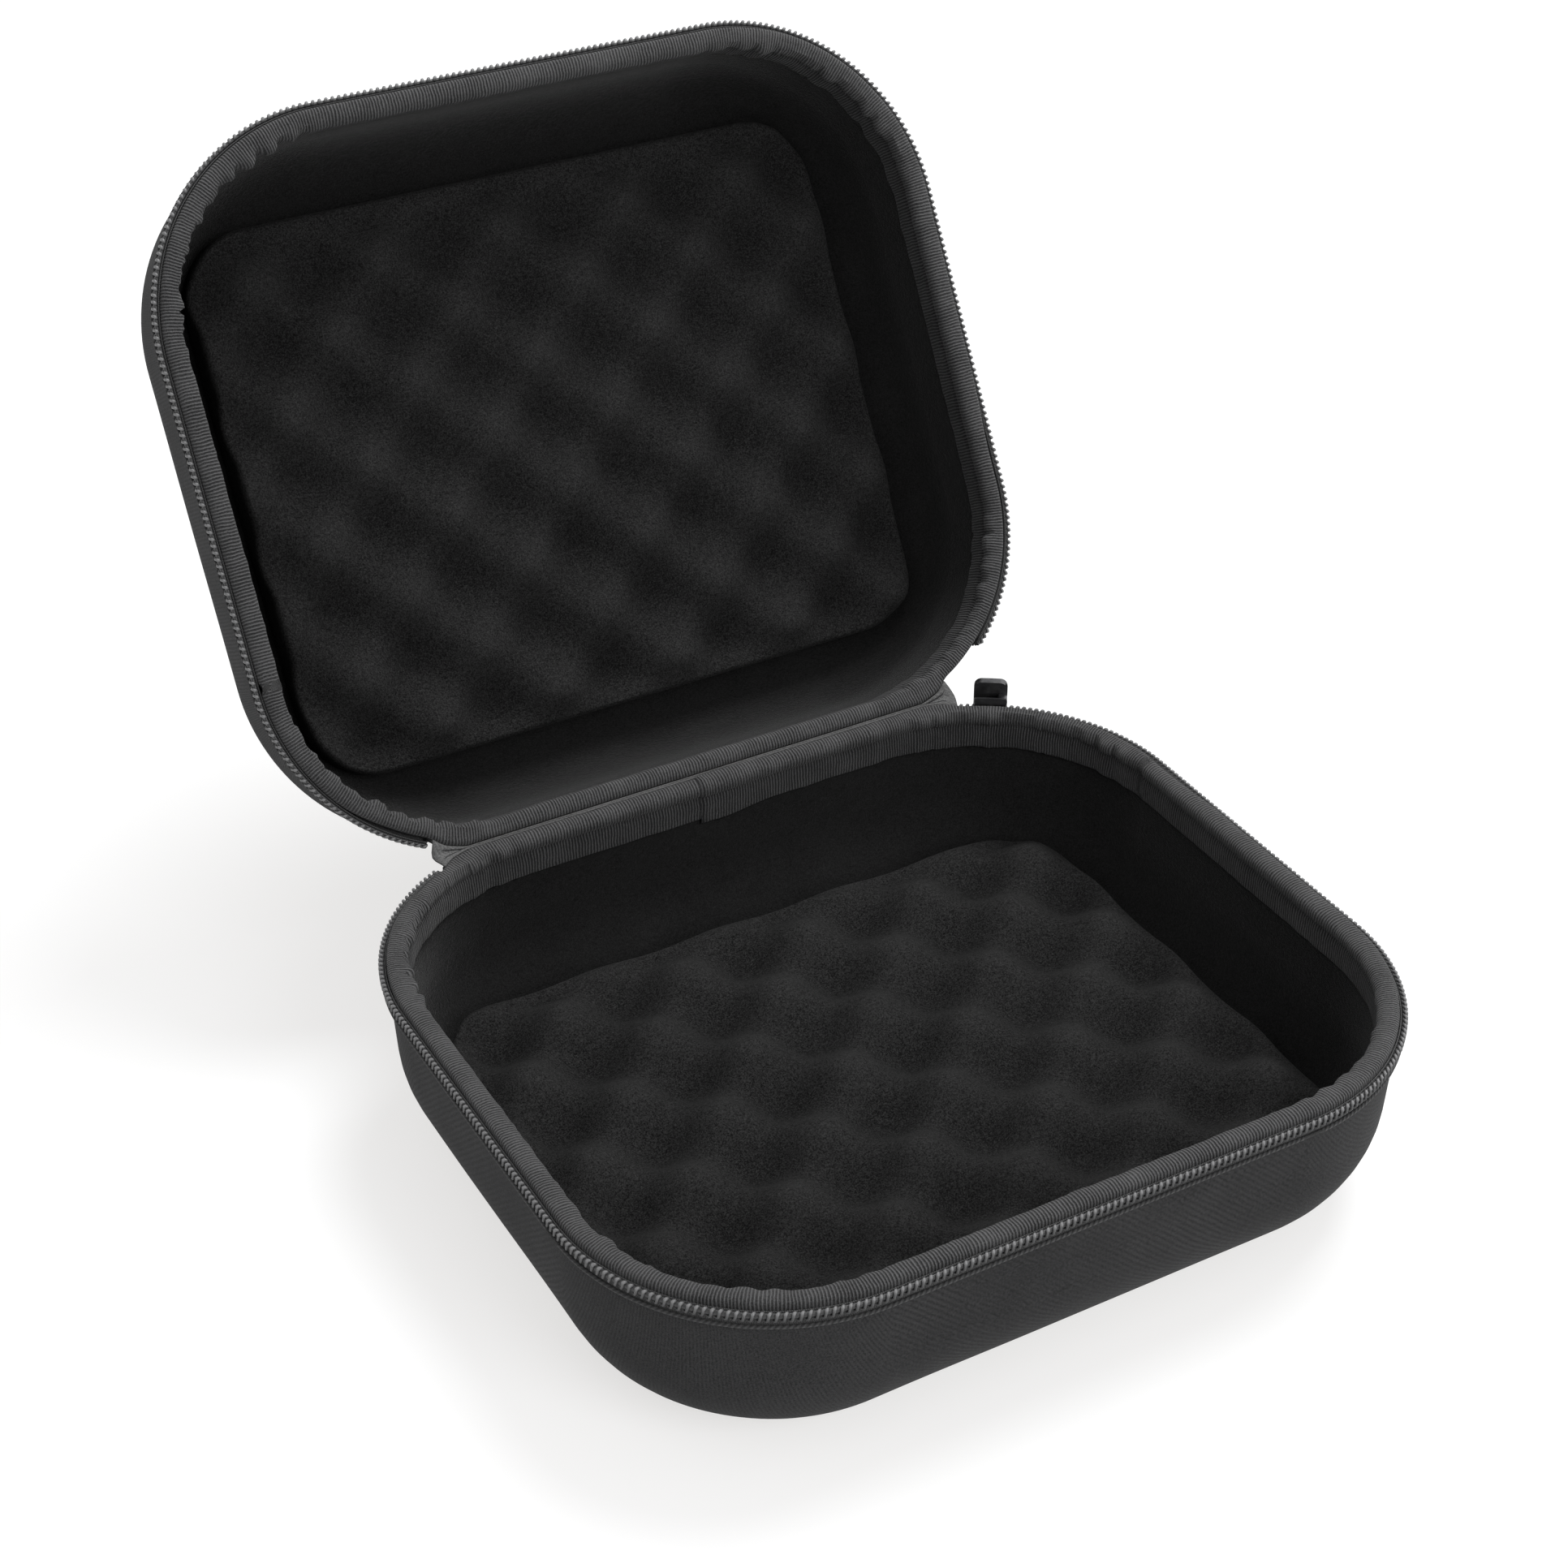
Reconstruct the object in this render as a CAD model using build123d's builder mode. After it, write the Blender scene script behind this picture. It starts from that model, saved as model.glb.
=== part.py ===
from build123d import *
from math import acos, cos, degrees, radians, sin, tan
import os

os.makedirs("parts", exist_ok=True)

# Binocular hard case: two moulded fabric-faced trays that close with a coil zip.
# Millimetres. +X runs along the hinge, +Y towards the hinge, +Z up.
# The origin is the centre of the base's underside.

# ---------------------------------------------------------------- overall size
case_width = 240.0       # over the zip rows, along the hinge
case_depth = 210.0       # over the zip rows, front to back
half_height = 57.0       # each half, from the closing plane to its outer face
corner_radius = 60.0     # of the zip rows, seen from above
edge_radius = 31.0       # rolled edge between the wall and the outer face
wall_draft = 3.0         # degrees that the walls lean inwards
open_angle = 120.5       # of the lid, as it stands

# ------------------------------------------------------- the moulded laminate
shell_wall = 3.3         # moulded foam sheet with its woven face
lining_thickness = 0.6
bond_line = 0.1          # between layers that are glued or sewn face to face

# -------------------------------------------------------------- the zip rows
coil_thickness = 1.6     # one row of loops, measured outwards
coil_height = 3.2        # one row of loops, measured across the zip
coil_drop = 1.8          # from the closing plane down to the loop heads
coil_pitch = 1.9         # from one loop to the next
loop_width = 1.2         # of each loop, along the row
loop_relief = 0.7        # how far the loops stand out from the cord they are wound on
tape_thickness = 0.4
tape_drop = 2.6          # from the closing plane down to the tape's free edge
zip_overhang = 1.7       # how far the loops stand out past the shell wall
slider_clearance = 0.3
inner_wing_thickness = 0.6
outer_wing_thickness = 1.1
lip_height = 0.6         # lip of the slider that hooks behind the loops
cord_diameter = 1.0      # cord sewn along the wall's top edge
cord_sides = 8

# ------------------------------------------------------------ the edge binding
binding_thickness = 0.6
binding_roll = 1.2       # rounding of the roll over the rim
binding_flap = 12.8      # depth of the flap on the inside
rim_gap = 0.15           # from the closing plane down to the binding

# --------------------------------------------------------------- the foam pads
foam_width = 200.0
foam_depth = 159.0
foam_corner = 15.0
foam_thickness = 20.0
foam_crown = 6.0         # rounding of the pad's upper edge

# ------------------------------------------------------------- the hinge strip
hinge_overrun = 25.0     # how far the strip and the zip rows' ends reach into each rear corner
strip_thickness = 0.5
backing_thickness = 0.4

# ------------------------------------------------------------------ the slider
slider_length = 10.0
slider_stop = 4.0        # degrees of the corner between the parked slider and the row's end
slider_berth = 2.0       # degrees between the slider and the end of the lid's row
slider_corner = 2.2
lip_reach = 1.2          # how far the lips reach over the loops
post_length = 2.8        # wedge post between the wings, at the nose
post_height = 3.0
post_round = 1.2
inner_wing_top = 1.4     # the inner wing stops here on the lid's side
bridge_rod = 1.5         # diameter
bridge_length = 8.0
bridge_rise = 3.0        # from the outer wing to the rod's axis
bridge_bend = 1.6

# -------------------------------------------------------------------- the pull
pull_length = 27.0       # from the rod's axis to the tip
pull_width = 7.0
pull_thickness = 1.2
knuckle_diameter = 3.6
knuckle_length = 3.8
pull_running_fit = 0.08  # between the knuckle's bore and the rod
grip_length = 17.0
grip_width = 9.0
grip_thickness = 2.8
grip_corner = 3.0
grip_chamfer = 0.6

# --------------------------------------------------- places that follow from these
wall_slope = tan(radians(wall_draft))
half_width = case_width / 2
half_depth = case_depth / 2
corner_x = half_width - corner_radius
corner_y = half_depth - corner_radius
hinge_length = 2 * (corner_x + hinge_overrun)

groove = 2 * slider_clearance + inner_wing_thickness
tape_outer = coil_thickness
tape_inner = tape_outer + tape_thickness
binding_outer = tape_inner + groove
edge_outer = binding_outer + binding_thickness + bond_line
shell_inner = zip_overhang + shell_wall
lining_outer = shell_inner + bond_line
lining_inner = lining_outer + lining_thickness
binding_fold = lining_inner + bond_line
binding_inner = binding_fold + binding_thickness

coil_bottom = coil_drop + coil_height
lip_start = coil_bottom + slider_clearance
wing_reach = lip_start + lip_height
cord_start = wing_reach + slider_clearance
cord_axis = cord_start + cord_diameter / 2
ledge = cord_axis + slider_clearance
shell_top = rim_gap + binding_thickness + bond_line
shell_floor = half_height - shell_wall
lining_floor = shell_floor - bond_line - lining_thickness
foam_floor = lining_floor - bond_line

strip_reach = ledge - bond_line
strip_end = acos((hinge_length / 2 - corner_x) / corner_radius)

# The lid turns about the outer edge of the two bindings, where they touch as it opens.
hinge_inset = binding_outer - bond_line

# The closing plane of each half: its Z runs from the rim to that half's outer face.
base_rim = Plane(origin=(0, 0, half_height), x_dir=(1, 0, 0), z_dir=(0, 0, -1))
hinge_axis = Axis((0, half_depth - hinge_inset, half_height), (1, 0, 0))
opening = radians(open_angle)
lid_out = Vector(0, sin(opening), cos(opening))
lid_back = Vector(0, cos(opening), -sin(opening))
lid_centre = hinge_axis.position - lid_back * (half_depth - hinge_inset)
lid_rim = Plane(origin=lid_centre, x_dir=(-1, 0, 0), z_dir=lid_out)


def outline(inset, depth):
    """Width, length and corner radius of a wall face at a depth below the rim."""
    lean = inset + depth * wall_slope
    return case_width - 2 * lean, case_depth - 2 * lean, corner_radius - lean


def basin(rim, inset, top, floor):
    """A solid tray with leaning walls and a rolled edge round its outer face."""
    depth_axis = Axis(rim.origin, rim.z_dir)
    with BuildPart() as body:
        with BuildSketch(rim.offset(top)):
            RectangleRounded(*outline(inset, top))
        extrude(amount=floor - top)
        walls = body.faces().filter_by(depth_axis, reverse=True)
        draft(walls, rim.offset(top), wall_draft)
        outer_face = body.faces().sort_by(depth_axis)[-1]
        fillet(outer_face.edges(), radius=edge_radius - (inset - zip_overhang))
    return body.part


def rim_loop(rim):
    """The outline of the zip rows, all the way round from the middle of the back."""
    with BuildLine(rim) as loop:
        Line((0, -half_depth), (corner_x, -half_depth))
        CenterArc((corner_x, -corner_y), corner_radius, -90, 90)
        Line((half_width, -corner_y), (half_width, corner_y))
        CenterArc((corner_x, corner_y), corner_radius, 0, 90)
        Line((corner_x, half_depth), (-corner_x, half_depth))
        CenterArc((-corner_x, corner_y), corner_radius, 90, 90)
        Line((-half_width, corner_y), (-half_width, -corner_y))
        CenterArc((-corner_x, -corner_y), corner_radius, 180, 90)
        Line((-corner_x, -half_depth), (0, -half_depth))
    return loop.wire()


def zip_route(rim, first_end, last_end):
    """The zip row, between two angles measured back from the sides on the rear corners."""
    with BuildLine(rim) as route:
        CenterArc((corner_x, -corner_y), corner_radius, -first_end, first_end)
        Line((half_width, -corner_y), (half_width, corner_y))
        CenterArc((corner_x, corner_y), corner_radius, 0, 90)
        Line((corner_x, half_depth), (-corner_x, half_depth))
        CenterArc((-corner_x, corner_y), corner_radius, 90, 90)
        Line((-half_width, corner_y), (-half_width, -corner_y))
        CenterArc((-corner_x, -corner_y), corner_radius, 180, last_end)
    return route.wire()


def section_plane(rim, route):
    """A plane across the start of a route: X runs inwards, Y down from the rim."""
    tangent = route % 0
    return Plane(origin=route @ 0, x_dir=rim.z_dir.cross(tangent), z_dir=tangent)


def loop_outline(route, face):
    """The row seen square on: a step out and back for each loop, and a plain inner side."""
    count = int(route.length / coil_pitch)
    inner = tape_outer - bond_line / 2
    out, back = [], []
    for loop in range(count):
        start = (loop + 0.5) * coil_pitch - loop_width / 2
        for along_row, inset in (
            (start, loop_relief),
            (start + loop_width / 4, 0),
            (start + loop_width * 3 / 4, 0),
            (start + loop_width, loop_relief),
        ):
            out.append((along_row, inset))
        back.append(((loop + 0.5) * coil_pitch, inner))
    points = []
    for along_row, inset in out + back[::-1]:
        share = along_row / route.length
        inwards = face.z_dir.cross(route % share)
        at = face.to_local_coords(route @ share + inwards * inset)
        points.append((at.X, at.Y))
    return points


# --------------------------------------------------- where the slider is parked
slider_half_angle = degrees(slider_length / 2 / corner_radius)
slider_angle = degrees(strip_end) - slider_half_angle - slider_stop
slider_travel = slider_angle - slider_half_angle
row_end = degrees(strip_end)
row_end_at_slider = slider_angle - slider_half_angle - slider_berth

rows = {
    "base": (base_rim, zip_route(base_rim, row_end, row_end)),
    "lid": (lid_rim, zip_route(lid_rim, row_end, row_end_at_slider)),
}

for half, (rim, route) in rows.items():
    loop = rim_loop(rim)
    across_loop = section_plane(rim, loop)
    across_row = section_plane(rim, route)
    depth_axis = Axis(rim.origin, rim.z_dir)

    # Moulded shell: full wall up to the ledge, and a thin pressed edge above it.
    wall = basin(rim, zip_overhang, ledge, half_height)
    edge = basin(rim, edge_outer, shell_top, shell_floor)
    hollow = basin(rim, shell_inner, 0, shell_floor)
    with BuildPart() as shell:
        add(wall)
        add(edge)
        add(hollow, mode=Mode.SUBTRACT)
    shell.part.label = f"{half}_shell"
    export_step(shell.part, f"parts/{half}_shell.step")

    # Lining: a thin pile fabric on the whole inside face, up under the binding.
    skin = basin(rim, lining_outer, shell_top, lining_floor + lining_thickness)
    room = basin(rim, lining_inner, 0, lining_floor)
    with BuildPart() as lining:
        add(skin)
        add(room, mode=Mode.SUBTRACT)
    lining.part.label = f"{half}_lining"
    export_step(lining.part, f"parts/{half}_lining.step")

    # Foam pad: cut flat, with its underside pressed into the rolled edge of the lining.
    seat = basin(rim, lining_inner + bond_line, 0, foam_floor)
    with BuildPart() as foam:
        with BuildSketch(rim.offset(foam_floor - foam_thickness)):
            RectangleRounded(foam_width, foam_depth, foam_corner)
        extrude(amount=foam_thickness)
        fillet(foam.faces().sort_by(depth_axis)[0].edges(), radius=foam_crown)
        add(seat, mode=Mode.INTERSECT)
    foam.part.label = f"{half}_foam"
    export_step(foam.part, f"parts/{half}_foam.step")

    # Binding: one ribbed tape folded over the pressed edge, joined at the middle of the back.
    flap_lean = binding_flap * wall_slope
    leg_lean = ledge * wall_slope
    with BuildPart() as binding:
        with BuildSketch(across_loop):
            with BuildLine():
                Polyline(
                    (binding_outer, rim_gap),
                    (binding_inner, rim_gap),
                    (binding_inner + flap_lean, binding_flap),
                    (binding_fold + flap_lean, binding_flap),
                    (binding_fold, rim_gap + binding_thickness),
                    (binding_outer + binding_thickness, rim_gap + binding_thickness),
                    (binding_outer + binding_thickness + leg_lean, ledge - bond_line),
                    (binding_outer + leg_lean, ledge - bond_line),
                    close=True,
                )
            make_face()
        sweep(path=loop)
        roll = binding.edges().group_by(depth_axis)[0]
        fillet(roll, radius=binding_roll)
    binding.part.label = f"{half}_binding"
    export_step(binding.part, f"parts/{half}_binding.step")

    # Zip tape: stands up behind the loops, with its foot sewn down on the ledge.
    with BuildPart() as tape:
        with BuildSketch(across_row):
            with BuildLine():
                Polyline(
                    (tape_outer, tape_drop),
                    (tape_inner, tape_drop),
                    (tape_inner, ledge - tape_thickness - bond_line),
                    (binding_outer - bond_line, ledge - tape_thickness - bond_line),
                    (binding_outer - bond_line, ledge - bond_line),
                    (tape_outer, ledge - bond_line),
                    close=True,
                )
            make_face()
        sweep(path=route)
    tape.part.label = f"{half}_zip_tape"
    export_step(tape.part, f"parts/{half}_zip_tape.step")

    # Zip row: loops of one pitch, standing out from the cord that they are wound on.
    with BuildPart() as coil:
        with BuildSketch(rim.offset(coil_drop)):
            with BuildLine():
                loops = loop_outline(route, rim.offset(coil_drop))
                Polyline(*loops, close=True)
            make_face()
        extrude(amount=coil_height)
    coil.part.label = f"{half}_zip_coil"
    export_step(coil.part, f"parts/{half}_zip_coil.step")

    # Edge cord: lies along the top of the wall, just under the loops.
    with BuildPart() as cord:
        with BuildSketch(across_row):
            with Locations((tape_outer - bond_line - cord_diameter / 2, cord_axis)):
                RegularPolygon(cord_diameter / 2, cord_sides)
        sweep(path=route)
    cord.part.label = f"{half}_edge_cord"
    export_step(cord.part, f"parts/{half}_edge_cord.step")

# -------------------------------------------------------------- hinge strips
# Two folded strips on the outside of the bindings: one leg down the base, one down the lid.
half_fold = radians(180 - open_angle) / 2
hinge_end = Plane(
    origin=(-hinge_length / 2, half_depth - hinge_inset, half_height),
    x_dir=(0, 1, 0),
    z_dir=(1, 0, 0),
)


def folded_strip(inner, outer):
    """A strip folded round the hinge axis, between two distances outside it."""
    legs = [(outer, -strip_reach), (inner, -strip_reach)]
    lid_legs = [Vector(y, -z).rotate(Axis.Z, -open_angle) for y, z in reversed(legs)]
    with BuildPart() as strip:
        with BuildSketch(hinge_end):
            with BuildLine():
                Polyline(
                    *legs,
                    (inner, -inner / tan(half_fold)),
                    *[(leg.X, leg.Y) for leg in lid_legs],
                    (outer, -outer / tan(half_fold)),
                    close=True,
                )
            make_face()
        extrude(amount=hinge_length)
    return strip.part


hinge_backing = folded_strip(0, backing_thickness)
hinge_backing.label = "hinge_backing"
export_step(hinge_backing, "parts/hinge_backing.step")

backing_face = backing_thickness + bond_line
hinge_strip = folded_strip(backing_face, backing_face + strip_thickness)
hinge_strip.label = "hinge_strip"
export_step(hinge_strip, "parts/hinge_strip.step")

# ------------------------------------------------------------------- slider
# It rides on the base's row round the rear right corner, about that corner's centre.
corner_centre = Vector(corner_x, corner_y, half_height)
parked = radians(slider_angle)
outwards = Vector(cos(parked), sin(parked), 0)
along = Vector(-sin(parked), cos(parked), 0)
slider_face = Plane(
    origin=corner_centre + outwards * corner_radius, x_dir=along, z_dir=outwards
)
corner_plane = Plane(origin=corner_centre, x_dir=(1, 0, 0), z_dir=(0, 0, 1))
outer_wing_face = slider_clearance + outer_wing_thickness
inner_wing_start = tape_inner + slider_clearance


def wing(radius_in, radius_out, low, high):
    """A curved plate that follows the corner, between two heights from the rim plane."""
    first = slider_angle - slider_half_angle
    with BuildPart() as plate:
        with BuildSketch(corner_plane.offset(low)):
            with BuildLine():
                inner_arc = CenterArc((0, 0), radius_in, first, 2 * slider_half_angle)
                outer_arc = CenterArc((0, 0), radius_out, first, 2 * slider_half_angle)
                Line(inner_arc @ 0, outer_arc @ 0)
                Line(inner_arc @ 1, outer_arc @ 1)
            make_face()
        extrude(amount=high - low)
    return plate.part


outer_wing = wing(
    corner_radius + slider_clearance, corner_radius + outer_wing_face, -wing_reach, wing_reach
)
inner_wing = wing(
    corner_radius - inner_wing_start - inner_wing_thickness,
    corner_radius - inner_wing_start,
    -wing_reach,
    inner_wing_top,
)
lips = [
    wing(corner_radius - lip_reach, corner_radius + slider_clearance, low, low + lip_height)
    for low in (-wing_reach, lip_start)
]
with BuildPart() as slider_body:
    add(outer_wing)
    add(inner_wing)
    for lip in lips:
        add(lip)
    with BuildSketch(slider_face.offset(-inner_wing_start - inner_wing_thickness / 2)):
        with Locations((-(slider_length - post_length) / 2, 0)):
            RectangleRounded(post_length, post_height, post_round)
    extrude(amount=inner_wing_start + inner_wing_thickness / 2 + outer_wing_face / 2)
    with BuildSketch(slider_face.offset(-corner_radius / 4)):
        RectangleRounded(slider_length, 2 * wing_reach, slider_corner)
    extrude(amount=corner_radius / 2, mode=Mode.INTERSECT)
slider_body.part.label = "slider_body"
export_step(slider_body.part, "parts/slider_body.step")

# Bridge: a bent rod on the outer wing that the pull hangs from.
rod_axis = outer_wing_face + bridge_rise
bridge_side = Plane(
    origin=slider_face.origin, x_dir=along, z_dir=along.cross(outwards)
)
with BuildPart() as bridge:
    with BuildLine(bridge_side) as arch:
        FilletPolyline(
            (-bridge_length / 2, outer_wing_face),
            (-bridge_length / 2, rod_axis),
            (bridge_length / 2, rod_axis),
            (bridge_length / 2, outer_wing_face),
            radius=bridge_bend,
        )
    with BuildSketch(Plane(origin=arch.wire() @ 0, z_dir=arch.wire() % 0)):
        Circle(bridge_rod / 2)
    sweep(path=arch.wire())
bridge.part.label = "slider_bridge"
export_step(bridge.part, "parts/slider_bridge.step")

# Pull: a flat tab with a knuckle round the bridge's rod; it hangs down beside the wall.
rod_centre = slider_face.origin + outwards * rod_axis
knuckle_side = Plane(origin=rod_centre, x_dir=outwards, z_dir=along)
tab_face = Plane(origin=rod_centre, x_dir=along, z_dir=outwards)
with BuildPart() as pull_tab:
    with BuildSketch(tab_face.offset(-pull_thickness / 2)):
        with Locations((0, -pull_length / 2)):
            RectangleRounded(pull_width, pull_length - knuckle_diameter, pull_width / 2 - 0.5)
        with Locations((0, -knuckle_diameter / 2)):
            Rectangle(knuckle_length, knuckle_diameter)
    extrude(amount=pull_thickness)
    with BuildSketch(knuckle_side.offset(-knuckle_length / 2)):
        Circle(knuckle_diameter / 2)
    extrude(amount=knuckle_length)
    with BuildSketch(knuckle_side.offset(-knuckle_length)):
        Circle(bridge_rod / 2 + pull_running_fit)
    extrude(amount=2 * knuckle_length, mode=Mode.SUBTRACT)
pull_tab.part.label = "pull_tab"
export_step(pull_tab.part, "parts/pull_tab.step")

# Grip: a moulded sleeve over the tab's lower end.
with BuildPart() as grip:
    with BuildSketch(tab_face.offset(-grip_thickness / 2)):
        with Locations((0, -pull_length + grip_length / 2 - bond_line)):
            RectangleRounded(grip_width, grip_length, grip_corner)
    extrude(amount=grip_thickness)
    front_and_back = grip.faces().filter_by(tab_face)
    chamfer(front_and_back.edges(), length=grip_chamfer)
    with BuildSketch(tab_face.offset(-pull_thickness / 2)):
        with Locations((0, -pull_length / 2)):
            RectangleRounded(pull_width, pull_length - knuckle_diameter, pull_width / 2 - 0.5)
    extrude(amount=pull_thickness, mode=Mode.SUBTRACT)
grip.part.label = "pull_grip"
export_step(grip.part, "parts/pull_grip.step")

print("hinge axis", hinge_axis.position, "slider at", round(slider_angle, 2))
print("slider travel", round(slider_travel, 2), "about", corner_centre)
print("rod axis through", rod_centre, "along", along)
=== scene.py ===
"""A zipped hard case standing open on its base.

It has moulded fabric shells, ribbed bindings, zip rows and wavy pads.
"""

import math

import bmesh
import bpy
from mathutils import Matrix, Vector, noise
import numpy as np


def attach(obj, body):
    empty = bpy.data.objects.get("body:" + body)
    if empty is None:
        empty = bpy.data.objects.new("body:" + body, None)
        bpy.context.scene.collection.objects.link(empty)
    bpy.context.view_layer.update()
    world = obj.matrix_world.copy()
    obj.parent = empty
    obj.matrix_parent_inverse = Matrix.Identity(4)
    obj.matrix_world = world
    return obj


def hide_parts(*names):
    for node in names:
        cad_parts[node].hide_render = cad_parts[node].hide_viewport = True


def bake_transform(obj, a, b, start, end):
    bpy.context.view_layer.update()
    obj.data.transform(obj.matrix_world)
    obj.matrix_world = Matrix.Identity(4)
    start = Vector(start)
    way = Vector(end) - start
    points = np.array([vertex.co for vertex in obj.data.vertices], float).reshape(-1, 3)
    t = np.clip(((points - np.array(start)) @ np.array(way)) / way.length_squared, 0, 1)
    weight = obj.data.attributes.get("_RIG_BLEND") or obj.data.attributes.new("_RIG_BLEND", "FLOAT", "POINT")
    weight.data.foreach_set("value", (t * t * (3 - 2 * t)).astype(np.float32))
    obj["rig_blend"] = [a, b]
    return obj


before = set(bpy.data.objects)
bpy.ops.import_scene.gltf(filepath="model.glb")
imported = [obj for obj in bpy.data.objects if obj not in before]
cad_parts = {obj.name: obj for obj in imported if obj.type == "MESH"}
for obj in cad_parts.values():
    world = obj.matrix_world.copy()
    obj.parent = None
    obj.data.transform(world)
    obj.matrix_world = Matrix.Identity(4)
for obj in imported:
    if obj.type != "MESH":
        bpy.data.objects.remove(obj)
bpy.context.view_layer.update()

MM = 0.001
LENGTH, WIDTH, ROUND = 0.240, 0.210, 0.060  # outline of the rim, outside the zip rows
RIM = 0.057  # height of the base's rim
HINGE = Vector((0, 0.1019, RIM))
OPEN = math.radians(120.5)
MID_X, MID_Y = LENGTH / 2 - ROUND, WIDTH / 2 - ROUND  # middles of the corners
CORNER = math.pi / 2 * ROUND  # length of the outline in one corner
AROUND = 4 * (MID_X + MID_Y + CORNER)
ROW_TURN = math.asin(25 / 60)  # how far round the rear corners the zip rows stop
BERTH_TURN = math.radians(90 - 49.8)  # the same on the lid, at its other end
ROW_END = MID_X + ROW_TURN * ROUND  # where the zip rows stop, from the middle of the back
BERTH_END = MID_X + BERTH_TURN * ROUND
RIBS = 866  # in the ribbon, once round the rim
RIB = AROUND / RIBS
LOOP = 1.9 * MM  # from one loop of the zip rows to the next

# ---------------------------------------------------------------- places round the rim



def turned_about(point, angle, axis):
    """A turn about an axis through that point."""
    there, back = Matrix.Translation(point), Matrix.Translation(-point)
    return there @ Matrix.Rotation(angle, 4, axis) @ back


# Takes a piece from its place in the base to its place in the lid.
LID = turned_about(HINGE, -OPEN, "X") @ turned_about(Vector((0, 0, RIM)), math.pi, "Y")


def smooth(value, low=0.0, high=1.0):
    """0 below low, 1 above high, and an even slope between them."""
    t = min(max((value - low) / (high - low), 0), 1)
    return t * t * (3 - 2 * t)


def out_of(x, y):
    """The way straight out of the case at a place near its wall."""
    way = Vector((x - min(max(x, -MID_X), MID_X), y - min(max(y, -MID_Y), MID_Y), 0))
    return way.normalized() if way.length > 1e-7 else Vector((0, 1, 0))


def round_from_back(x, y):
    """Distance along the outline, clockwise from above, from the middle of the back."""
    way = out_of(x, y)
    turned = math.atan2(way.x, way.y) % (2 * math.pi)
    quarter = min(int(turned / (math.pi / 2) + 1e-6), 3)
    across = abs(x) > MID_X
    along = abs(y) > MID_Y
    if along and not across:
        return x % AROUND if y > 0 else AROUND / 2 - x
    if across and not along:
        return AROUND / 4 - y if x > 0 else AROUND * 3 / 4 + y
    corner_starts = (
        MID_X,
        MID_X + 2 * MID_Y + CORNER,
        3 * MID_X + 2 * (MID_Y + CORNER),
        3 * (MID_X + CORNER) + 4 * MID_Y,
    )
    return corner_starts[quarter] + (turned - quarter * math.pi / 2) * ROUND


def rim_place(s, inside=0.0, below=0.0):
    """The point that far round from the middle of the back.

    How far it is inside the outline and below the rim are both in mm.
    """
    s %= AROUND
    w = inside * MM
    for kind, start, length, where in LEGS:
        if s <= start + length + 1e-9:
            if kind == "run":
                spot, way = where
                at = spot + way * (s - start)
                out = Vector((-way.y, way.x, 0))
            else:
                middle, first = where
                a = first - (s - start) / ROUND
                out = Vector((math.cos(a), math.sin(a), 0))
                at = middle + out * ROUND
            return at - out * w + Vector((0, 0, RIM - below * MM))
    return rim_place(0, inside, below)


def outline_legs():
    """The outline's runs and turns in order: kind, start, length, and what the leg follows."""
    x, y, r = MID_X, MID_Y, ROUND
    turns = (((x, y), 90), ((x, -y), 0), ((-x, -y), -90), ((-x, y), -180))
    runs = (
        ((0, y + r), (1, 0), x),
        ((x + r, y), (0, -1), 2 * y),
        ((x, -y - r), (-1, 0), 2 * x),
        ((-x - r, -y), (0, 1), 2 * y),
        ((-x, y + r), (1, 0), x),
    )
    legs, start = [], 0.0
    for i, (spot, way, length) in enumerate(runs):
        legs.append(("run", start, length, (Vector((*spot, 0)), Vector((*way, 0)))))
        start += length
        if i < len(turns):
            middle, first = turns[i]
            legs.append(("turn", start, CORNER, (Vector((*middle, 0)), math.radians(first))))
            start += CORNER
    return legs


LEGS = outline_legs()


# ---------------------------------------------------------------- making pieces


def draw_section(bm, points, start, closed):
    """A section's points, (inside, below) in mm, set up across the route at start."""
    distance = bm.verts.layers.float.new("distance")
    corners, gone, last = [], 0.0, None
    for inside, below in points:
        if last:
            gone += math.hypot(inside - last[0], below - last[1])
        last = (inside, below)
        corner = bm.verts.new(rim_place(start, inside, below))
        corner[distance] = gone * MM
        corners.append(corner)
    pairs = list(zip(corners, corners[1:]))
    if closed:
        pairs.append((corners[-1], corners[0]))
    return corners, [bm.edges.new(pair) for pair in pairs]


def carry_round(bm, points, start, stop, step, closed=True, turn_step=None):
    """Takes a section round the rim from start to stop, and gives the two end rings."""
    corners, edges = draw_section(bm, points, start, closed)
    first = list(edges)
    geometry = corners + edges
    lap = math.floor(start / AROUND) * AROUND
    while lap < stop:
        for kind, begins, length, where in LEGS:
            low, high = max(start, lap + begins), min(stop, lap + begins + length)
            if high - low < 1e-7:
                continue
            stride = (turn_step or step) if kind == "turn" else step
            steps = max(1, round((high - low) / stride))
            if kind == "run":
                move = dict(cent=(0, 0, 0), angle=0, dvec=where[1] * ((high - low) / steps))
            else:
                move = dict(cent=where[0], angle=-(high - low) / ROUND)
            spun = bmesh.ops.spin(bm, geom=geometry, steps=steps, axis=(0, 0, 1), **move)
            geometry = spun["geom_last"]
        lap += AROUND
    last = [e for e in geometry if isinstance(e, bmesh.types.BMEdge)]
    return first, last


def close_up(bm, ends=()):
    """Fills the named end rings, joins what meets and turns every face outwards."""
    for ring in ends:
        bmesh.ops.contextual_create(bm, geom=ring)
    bmesh.ops.remove_doubles(bm, verts=bm.verts, dist=1e-6)
    bmesh.ops.recalc_face_normals(bm, faces=bm.faces)


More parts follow.
